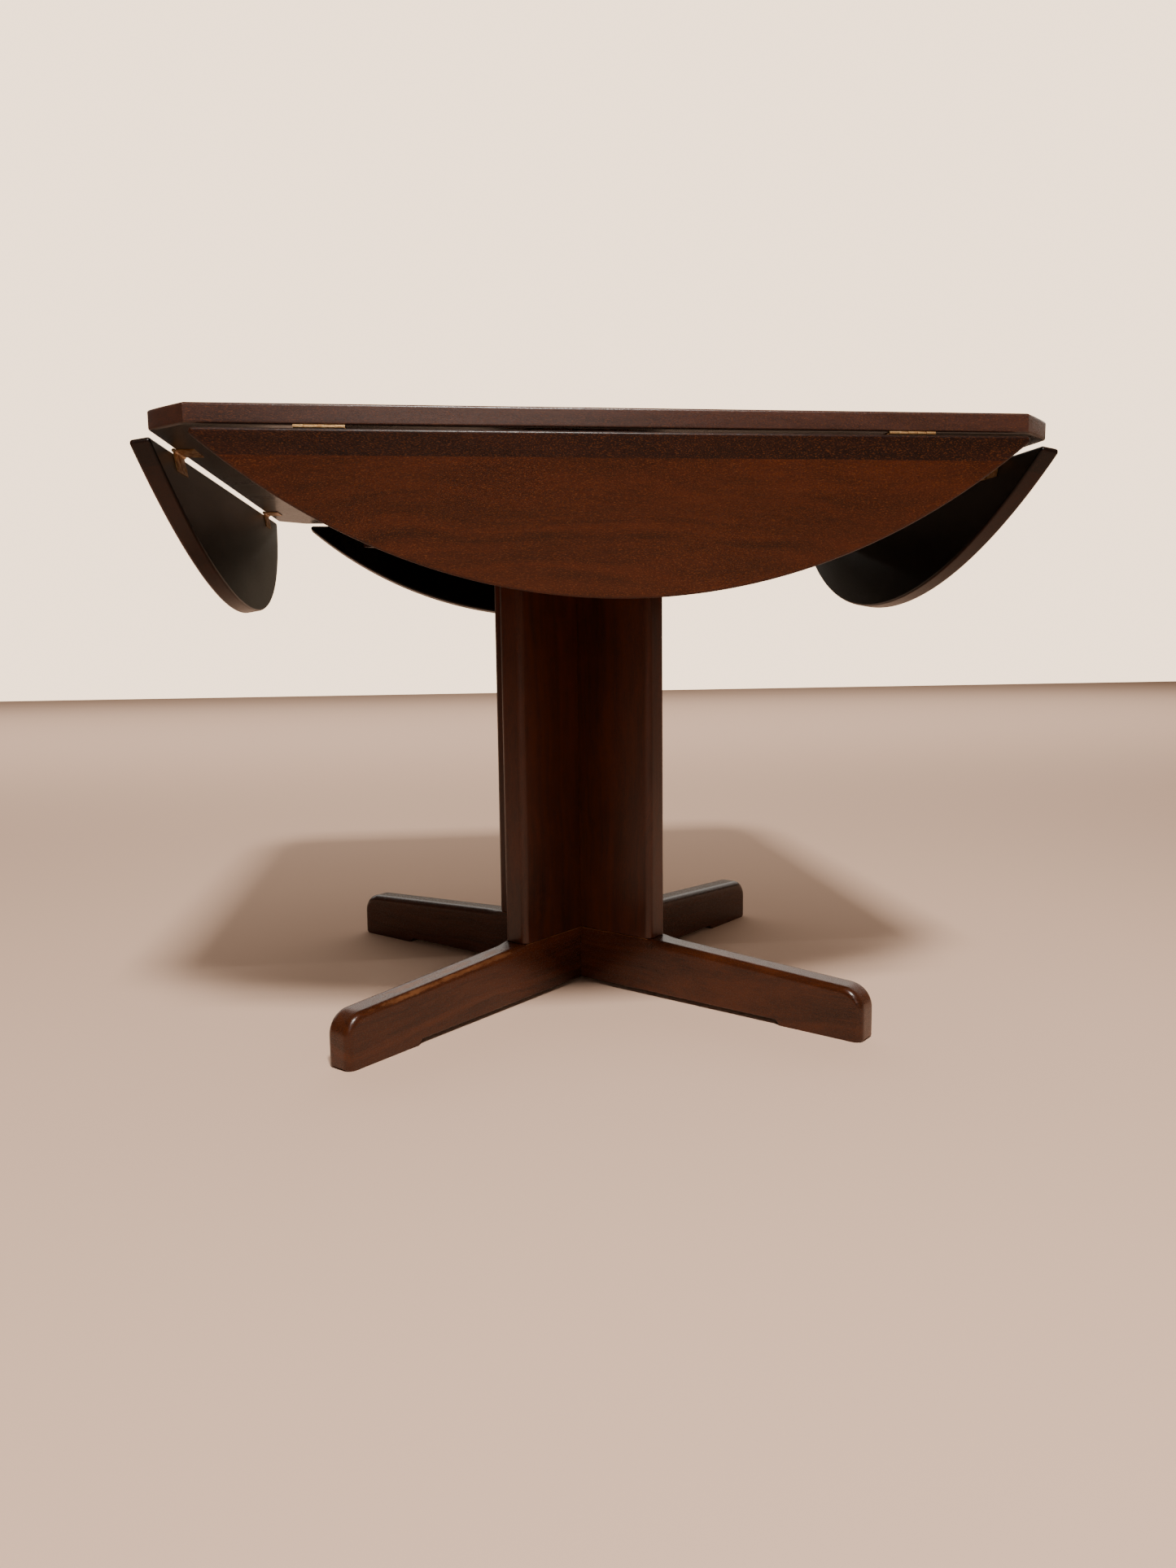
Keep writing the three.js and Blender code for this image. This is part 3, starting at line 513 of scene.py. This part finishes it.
def column_board(name, start, end_radii, angle, shift):
    """An upright board: a plan outline carried straight up, its ends eased by a 0.8 mm chamfer.

    The outline runs from start to the column's reach, with rounded corners of the radii
    given for its start and end. The first and last rings are pulled in towards its middle.
    """
    quarter = []
    for centre_x, radius, turn in (
        (COLUMN_REACH, end_radii[1], -90), (COLUMN_REACH, end_radii[1], 0),
        (start, end_radii[0], 90), (start, end_radii[0], 180),
    ):
        inward = -1 if turn in (-90, 0) else 1
        side = -1 if turn in (-90, 180) else 1
        centre_y = side * (RAIL_HALF - radius)
        quarter.append(bow(centre_x + inward * radius, centre_y, radius, turn, turn + 90, 9))
    outline = flat_side(np.vstack(quarter), 0.012)
    outline = outline[np.linalg.norm(outline - np.roll(outline, 1, 0), axis=1) > 1e-6]
    centre = outline.mean(0)
    heights = np.concatenate([[column_low.z, column_low.z + END_EASE],
                              np.linspace(column_low.z + 0.02, column_high.z - 0.02, 24),
                              [column_high.z - END_EASE, column_high.z]])
    pulled = np.zeros(len(heights))
    pulled[[0, -1]] = END_EASE
    away = np.sign(outline - centre) * pulled[::-1][:, None, None]
    plan = np.broadcast_to(outline, (len(heights), *outline.shape)) - away
    points = np.dstack([plan, np.broadcast_to(heights[::-1, None], plan.shape[:2])])
    rounding = np.clip((np.abs(outline[:, 0]) - (COLUMN_REACH - COLUMN_ARRIS - 0.004)) / 0.005, 0, 1)
    middle = np.clip(1.35 - np.abs(np.abs(outline[:, 1]) - (RAIL_HALF - 0.003)) / 0.009, 0, 1)
    near = np.broadcast_to(rounding * middle, plan.shape[:2])
    board = points[..., [2, 0, 1]] + np.array(shift)
    return make_piece(name, turn_about_z(points, angle), skin(points), board, near, crease=50)


GLUED_FACE = RAIL_HALF + GLUE_GAP
BOTH_ROUND = (COLUMN_ARRIS, COLUMN_ARRIS)
ONE_ROUND = (END_EASE, COLUMN_ARRIS)

for node, angle, start, radii, shift in (
    ("column_board_wide", DIAGONAL_A, -COLUMN_REACH, BOTH_ROUND, (3.2, 0.5, 0.3)),
    ("column_board_back_right", DIAGONAL_B, GLUED_FACE, ONE_ROUND, (5.4, 0.2, 0.6)),
    ("column_board_front_left", DIAGONAL_B + math.pi, GLUED_FACE, ONE_ROUND, (6.1, 0.9, 0.1)),
):
    upright = column_board(f"shaped_{node}", start, radii, angle, shift)
    upright.data.materials.append(COLUMN_WOOD)
    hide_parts(node)
    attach(upright, "base")

# ---------------------------------------------------------------- upper rails
# The upper cross, halved together like the feet, deeper at the column than at its ends and
# grooved along the top for the bearers. Same stained mahogany, with sanded edges.


def sand_edges(node, width):
    """Finishes a CAD node: merges its corners, clears its flat faces and eases its sharp edges."""
    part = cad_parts[node]
    weld = part.modifiers.new("merged", "WELD")
    weld.merge_threshold = 0.00002
    plane = part.modifiers.new("flat_faces", "DECIMATE")
    plane.decimate_type = "DISSOLVE"
    plane.angle_limit = math.radians(0.5)
    eased = part.modifiers.new("eased", "BEVEL")
    eased.width = width
    eased.segments = 2
    eased.angle_limit = math.radians(35)
    eased.harden_normals = True


def finish_node(node, finish):
    """Gives a CAD node its material and the slot that it takes its finish from."""
    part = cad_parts[node]
    part.data.materials.clear()
    part.data.materials.append(finish)


for label, angle in (("a", DIAGONAL_A), ("b", DIAGONAL_B)):
    arm_wood = wood_finish(f"arm_mahogany_{label}", paint(62, 29, 17), paint(28, 12, 8),
                           paint(92, 58, 40), 0.12, 0.36, paint(96, 60, 36), 0.0, turned_by=angle)
    sand_edges(f"upper_rail_{label}", SAWN_EASE)
    finish_node(f"upper_rail_{label}", arm_wood)

# ---------------------------------------------------------------- coach screws
# Zinc-plated hexagon-headed screws draw both crosses tight to the column, in counterbores
# under the feet and in the top of the upper rails. Guide screws stop the bearers.


def metal_finish(name, bright, dull, rough, scale):
    """Plated or solid metal: bright and dull patches from a noise, which also varies the roughness."""
    finish = bpy.data.materials.new(name)
    finish.use_nodes = True
    tree = finish.node_tree
    shader = tree.nodes["Principled BSDF"]
    placed = add_node(tree, "ShaderNodeTexCoord").outputs["Object"]
    patch = add_node(tree, "ShaderNodeTexNoise",
                     {"Vector": placed, "Scale": scale, "Detail": 6.0, "Roughness": 0.6}).outputs["Fac"]
    spread = add_node(tree, "ShaderNodeMapRange", {"Value": patch, "From Min": 0.38, "From Max": 0.66},
                      interpolation_type="SMOOTHSTEP").outputs["Result"]
    colour = add_node(tree, "ShaderNodeMix", {"Factor": spread, "A": dull, "B": bright},
                      data_type="RGBA").outputs["Result"]
    uneven = add_node(tree, "ShaderNodeMapRange",
                      {"Value": spread, "To Min": rough + 0.2, "To Max": rough}).outputs["Result"]
    fine = add_node(tree, "ShaderNodeTexNoise",
                    {"Vector": placed, "Scale": scale * 14, "Detail": 2.0}).outputs["Fac"]
    bump = add_node(tree, "ShaderNodeBump",
                    {"Height": fine, "Strength": 0.15, "Distance": 0.0002}).outputs["Normal"]
    for label, value in (("Base Color", colour), ("Roughness", uneven), ("Normal", bump)):
        tree.links.new(value, shader.inputs[label])
    shader.inputs["Metallic"].default_value = 1.0
    return finish


ZINC = metal_finish("zinc_plate", paint(176, 178, 178), paint(120, 122, 118), 0.30, 160.0)

for arm in ("front_right", "back_right", "back_left", "front_left"):
    for kind in ("foot_screw", "arm_screw", "guide_screw"):
        sand_edges(f"{kind}_{arm}", 0.0004)
        finish_node(f"{kind}_{arm}", ZINC)

# ---------------------------------------------------------------- hub disc
# A disc of beech plywood screwed down on the upper cross to carry the swivel. The plies
# show as bands around its edge, and its faces are bare sanded veneer.

PLY = 0.0014


def plywood_finish():
    """Bare plywood: plies from the height above the floor, grain from a noise stretched along X."""
    finish = bpy.data.materials.new("bare_plywood")
    finish.use_nodes = True
    tree = finish.node_tree
    shader = tree.nodes["Principled BSDF"]
    placed = add_node(tree, "ShaderNodeTexCoord").outputs["Object"]
    long_grain = add_node(tree, "ShaderNodeVectorMath", {0: placed, 1: (18.0, 420.0, 420.0)},
                          operation="MULTIPLY").outputs[0]
    fibre = add_node(tree, "ShaderNodeTexNoise",
                     {"Vector": long_grain, "Scale": 1.0, "Detail": 4.0}).outputs["Fac"]
    height = add_node(tree, "ShaderNodeSeparateXYZ", {"Vector": placed}).outputs["Z"]
    turn = add_node(tree, "ShaderNodeMath", {0: height, 1: math.pi / PLY},
                    operation="MULTIPLY").outputs[0]
    wave = add_node(tree, "ShaderNodeMath", {0: turn}, operation="SINE").outputs[0]
    ply = add_node(tree, "ShaderNodeMapRange",
                   {"Value": wave, "From Min": -0.35, "From Max": 0.35}).outputs["Result"]
    shades = ((paint(98, 68, 44), paint(132, 96, 64)), (paint(150, 112, 76), paint(186, 148, 106)))
    brown, pale = [add_node(tree, "ShaderNodeMix", {"Factor": fibre, "A": low, "B": high},
                            data_type="RGBA").outputs["Result"] for low, high in shades]
    colour = add_node(tree, "ShaderNodeMix", {"Factor": ply, "A": brown, "B": pale},
                      data_type="RGBA").outputs["Result"]
    bump = add_node(tree, "ShaderNodeBump",
                    {"Height": fibre, "Strength": 0.3, "Distance": 0.0003}).outputs["Normal"]
    tree.links.new(colour, shader.inputs["Base Color"])
    tree.links.new(bump, shader.inputs["Normal"])
    shader.inputs["Roughness"].default_value = 0.75
    return finish


sand_edges("hub_disc", 0.0008)
finish_node("hub_disc", plywood_finish())

SCREW_DOME = 0.00025
SLOT_HALF = 0.00042
SLOT_DEPTH = 0.0005
rng = np.random.default_rng(7)


def slotted_heads(centres, radius):
    """Countersunk heads seen from above, each a closed polar grid about its own centre.

    Height is a shallow dome falling to the rim, less the slot's depth where the distance from
    the slot's line is under half its width; below the rim the head narrows as a cone.
    """
    share = np.array([0.06, 0.14, 0.28, 0.45, 0.62, 0.78, 0.92, 1.0])
    around = np.arange(28) * 2 * math.pi / 28
    rings = []
    for x, y in centres:
        slot_turn = rng.uniform(0, math.pi)
        u = radius * share[:, None] * np.cos(around)[None]
        v = radius * share[:, None] * np.sin(around)[None]
        dome = SCREW_DOME * (1 - share[:, None] ** 2) + 0.00005
        across = np.abs(u * math.sin(slot_turn) - v * math.cos(slot_turn))
        height = dome - SLOT_DEPTH * (across < SLOT_HALF)
        under = np.dstack([u[-1:] * 0.5, v[-1:] * 0.5, np.full((1, 28), -0.0009)])
        one = np.concatenate([np.dstack([u, v, height]), under])
        rings.append(one + np.array([x, y, 0]))
    stack = np.array(rings)
    size = stack.shape[1] * stack.shape[2]
    faces = skin(rings[0])
    every = [[i + k * size for i in face] for k in range(len(rings)) for face in faces]
    return stack.reshape(-1, 3), every


def screws_round(name, circle, count, start, radius, height, faces_up, rides):
    """Steel wood screws evenly round a circle at a height, their heads facing up or down."""
    turns = np.radians(start + np.arange(count) * 360 / count)
    heads, faces = slotted_heads(np.column_stack([np.cos(turns), np.sin(turns)]) * circle, radius)
    if not faces_up:
        heads = heads * [1, 1, -1]
        faces = [face[::-1] for face in faces]
    placed = heads + np.array([0, 0, height])
    made = make_piece(name, placed, faces, placed, np.zeros(len(placed)), crease=30)
    made.data.materials.append(ZINC)
    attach(made, rides)


HUB_SCREW_CIRCLE = 0.110
HUB_SCREW = 0.0042
hub_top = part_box("hub_disc")[1].z
screws_round("hub_screws", HUB_SCREW_CIRCLE, 4, 45, HUB_SCREW, hub_top, True, "base")

# ---------------------------------------------------------------- swivel
# Two pressed steel plates riveted together at the middle, which run on a ring of steel
# balls. The lower one is screwed to the hub disc and the upper one to the top.

for node in ("swivel_lower_plate", "swivel_upper_plate", "swivel_rivet"):
    sand_edges(node, 0.0005)
    finish_node(node, ZINC)

lower_plate_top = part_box("swivel_lower_plate")[1].z
upper_plate_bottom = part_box("swivel_upper_plate")[0].z
PLATE_CIRCLE = 0.062
PLATE_SCREW = 0.0040
screws_round("lower_plate_screws", PLATE_CIRCLE, 6, 15, PLATE_SCREW, lower_plate_top, True, "base")
screws_round("upper_plate_screws", PLATE_CIRCLE, 6, 45, PLATE_SCREW, upper_plate_bottom, False, "top")

ring_low, ring_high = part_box("swivel_ball_ring")
BALLS = 84
BALL_RING_INNER = 0.084


def ball_ring():
    """Balls evenly round a circle: each a grid of latitude and longitude about its own centre.

    Latitude runs from one pole to the other just short of both, and a small face closes each.
    """
    radius = (ring_high.z - ring_low.z) / 2
    track = (ring_high.x + BALL_RING_INNER) / 2
    middle = (ring_low.z + ring_high.z) / 2
    rise = np.radians(np.linspace(78, -78, 6))
    round_it = np.radians(np.arange(8) * 45)
    one = np.dstack([
        radius * np.cos(rise)[:, None] * np.cos(round_it)[None],
        radius * np.cos(rise)[:, None] * np.sin(round_it)[None],
        np.broadcast_to(radius * np.sin(rise)[:, None], (6, 8)),
    ])
    place = np.radians(np.arange(BALLS) * 360 / BALLS)
    centres = np.column_stack([track * np.cos(place), track * np.sin(place), np.full(BALLS, middle)])
    points = one[None] + centres[:, None, None]
    faces = skin(one)
    size = one.shape[0] * one.shape[1]
    every = [[v + k * size for v in face] for k in range(BALLS) for face in faces]
    flat = points.reshape(-1, 3)
    return make_piece("swivel_balls", flat, every, flat, np.zeros(len(flat)), crease=60)


balls = ball_ring()
balls.data.materials.append(ZINC)
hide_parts("swivel_ball_ring")
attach(balls, "base")

# ---------------------------------------------------------------- bearers
# Four mahogany slides that are drawn out under the raised leaves. Each has a raised nose,
# a tongue that runs in the rail's groove, and a slot for the guide screw.

for arm, angle in (
    ("front_right", -45), ("back_right", 45), ("back_left", 135), ("front_left", 225),
):
    slide_wood = wood_finish(f"bearer_mahogany_{arm}", paint(74, 36, 20), paint(36, 16, 10),
                             paint(110, 72, 48), 0.14, 0.36, paint(110, 70, 42), 0.0,
                             turned_by=math.radians(angle))
    sand_edges(f"bearer_{arm}", SAWN_EASE)
    finish_node(f"bearer_{arm}", slide_wood)

# ---------------------------------------------------------------- top
# A veneered panel lipped with solid mahogany along its four straight edges, its corners
# trimmed to the circle of the opened table. All edges are rounded over by 3 mm.

top_low, top_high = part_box("top_panel")
HALF_SIDE = (top_high.x - top_low.x) / 2
THICK = top_high.z - top_low.z
CORNER_TRIM = 0.043
ROUND_RADIUS = math.hypot(HALF_SIDE, HALF_SIDE - CORNER_TRIM)
PANEL_EASE = 0.003
LIPPING = 0.025

# Its underside is painted down to a tenth of its colour, as shade under the top.
TOP_WOOD = wood_finish("top_mahogany", paint(68, 29, 10), paint(36, 14, 5), paint(112, 62, 28), 0.42,
                       0.24, paint(120, 72, 40), 0.02, shine=0.40, under=(1.0, 0.10),
                       lipping=(LIPPING, paint(65, 39, 32), paint(37, 21, 17)))


def add_places(piece, inward, level):
    """Stores how far each point lies in from the hinge edge, and its level from -1 under to 1 on top."""
    for label, value in (("inward", inward), ("level", level)):
        stored = piece.data.attributes.new(label, "FLOAT", "POINT")
        stored.data.foreach_set("value", np.ascontiguousarray(value, np.float32).ravel())


def top_outline():
    """Four straight edges joined by arcs of the opened table's circle, anticlockwise."""
    corner = math.degrees(math.acos(HALF_SIDE / ROUND_RADIUS))
    span = 90 - 2 * corner
    arcs = [bow(0, 0, ROUND_RADIUS, q * 90 + corner, q * 90 + corner + span, 10) for q in range(4)]
    return flat_side(np.vstack(arcs), 0.04)


points, near = eased_board(top_outline(), THICK / 2, PANEL_EASE, 0.004)
top_points = points + np.array([0, 0, (top_low.z + top_high.z) / 2])
top = make_piece("lipped_top", top_points, skin(points), points + np.array([1.0, 0.6, 0.4]), near)
add_places(top, HALF_SIDE - np.abs(points[..., :2]).max(-1), points[..., 2] / (THICK / 2))
top.data.materials.append(TOP_WOOD)
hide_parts("top_panel")
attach(top, "top")

# ---------------------------------------------------------------- leaves
# Four segments of the same panel, drawn much darker in a strip along the straight edge where they hinge.
# Each hangs from two hinges, leaning in a little until its weight is under the pins.

# Painted shade: its rim keeps 0.3 of its colour, and the side which faces down, inward as it hangs, 0.08
# of that.
LEAF_WOOD = wood_finish("leaf_mahogany", paint(66, 28, 10), paint(35, 14, 5), paint(108, 60, 27), 0.42,
                        0.26, paint(120, 72, 40), 0.02, shine=0.20, under=(0.3, 0.08),
                        # The strip within 25 mm of the hinge edge takes a second grain, painted about
                        # half as light as the field.
                        lipping=(LIPPING, paint(37, 16, 10), paint(19, 8, 6)))

PIN_DROP = 0.0015
EDGE_GAP = 0.0014
TIP_RADIUS = 0.004
PIN_HEIGHT = top_low.z - PIN_DROP


def leaf_outline():
    """Hinge edge, tip, arc of the opened table about its middle, tip; anticlockwise about the pin."""
    tip_y = EDGE_GAP + TIP_RADIUS
    to_tip = ROUND_RADIUS - TIP_RADIUS
    tip_x = math.sqrt(to_tip ** 2 - (HALF_SIDE + tip_y) ** 2)
    angle = math.degrees(math.atan2(HALF_SIDE + tip_y, tip_x))
    rim = bow(0, -HALF_SIDE, ROUND_RADIUS, angle, 180 - angle, 72)[1:-1]
    return flat_side(np.vstack([
        bow(tip_x, tip_y, TIP_RADIUS, -90, angle, 8),
        rim,
        bow(-tip_x, tip_y, TIP_RADIUS, 180 - angle, 270, 8),
    ]), 0.03)


def hanging_tilt():
    """Lean at which the leaf's middle, a circular segment's centroid, is right under its pin."""
    chord = HALF_SIDE + EDGE_GAP
    half_chord = math.sqrt(ROUND_RADIUS ** 2 - chord ** 2)
    area = ROUND_RADIUS ** 2 * math.acos(chord / ROUND_RADIUS) - chord * half_chord
    centroid = (2 / 3) * half_chord ** 3 / area - HALF_SIDE
    return math.atan2(THICK / 2 + PIN_DROP, centroid)


def hang(points, angle):
    """Points about a raised leaf's pin, turned down to where the leaf hangs and round to its side."""
    down = -(math.pi / 2 + hanging_tilt())
    c, s = math.cos(down), math.sin(down)
    lowered = points @ np.array([[1, 0, 0], [0, c, s], [0, -s, c]])
    return turn_about_z(lowered + np.array([0, HALF_SIDE, PIN_HEIGHT]), angle)


SIDES = {"front": math.pi, "right": -math.pi / 2, "back": 0.0, "left": math.pi / 2}

for index, (name, angle) in enumerate(SIDES.items()):
    points, near = eased_board(leaf_outline(), THICK / 2, PANEL_EASE, 0.0006)
    raised = points + np.array([0, 0, PIN_DROP + THICK / 2])
    board = points + np.array([2.0 + 1.7 * index, 0.3 + 0.23 * index, 0.9 - 0.2 * index])
    leaf = make_piece(f"lipped_leaf_{name}", hang(raised, angle), skin(points), board, near)
    add_places(leaf, points[..., 1] - EDGE_GAP, points[..., 2] / (THICK / 2))
    leaf.data.materials.append(LEAF_WOOD)
    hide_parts(f"leaf_{name}")
    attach(leaf, f"leaf_{name}")

# ---------------------------------------------------------------- hinges
# Brass butt hinges, 50 mm long with five knuckles, laid on the undersides of the top and
# leaf. Each flap is held by three slotted countersunk brass screws.

BRASS = metal_finish("dull_brass", paint(205, 168, 118), paint(150, 112, 74), 0.30, 140.0)
HINGE_CENTRE = 0.3035
HINGE_SCREW = 0.0031

SCREW_PLACES = [(-0.017, 0.0155), (0.0, 0.0085), (0.017, 0.0155)]

for name, angle in SIDES.items():
    for number, centre in ((1, -HINGE_CENTRE), (2, HINGE_CENTRE)):
        for part in ("top_flap", "leaf_flap", "pin"):
            node = f"{name}_hinge_{number}_{part}"
            sand_edges(node, 0.0003)
            finish_node(node, BRASS)
        places = [(centre + x, y) for x, y in SCREW_PLACES]
        heads, faces = slotted_heads(places, HINGE_SCREW)
        on_leaf = heads * [1, 1, -1]
        flipped = [face[::-1] for face in faces]
        leaf_screws = make_piece(f"{name}_hinge_{number}_leaf_screws", hang(on_leaf, angle),
                                 flipped, on_leaf, np.zeros(len(heads)), crease=30)
        leaf_screws.data.materials.append(BRASS)
        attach(leaf_screws, f"leaf_{name}")
        under_top = heads * [1, -1, -1] + np.array([0, HALF_SIDE, PIN_HEIGHT])
        top_screws = make_piece(f"{name}_hinge_{number}_top_screws", turn_about_z(under_top, angle),
                                faces, under_top, np.zeros(len(heads)), crease=30)
        top_screws.data.materials.append(BRASS)
        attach(top_screws, "top")
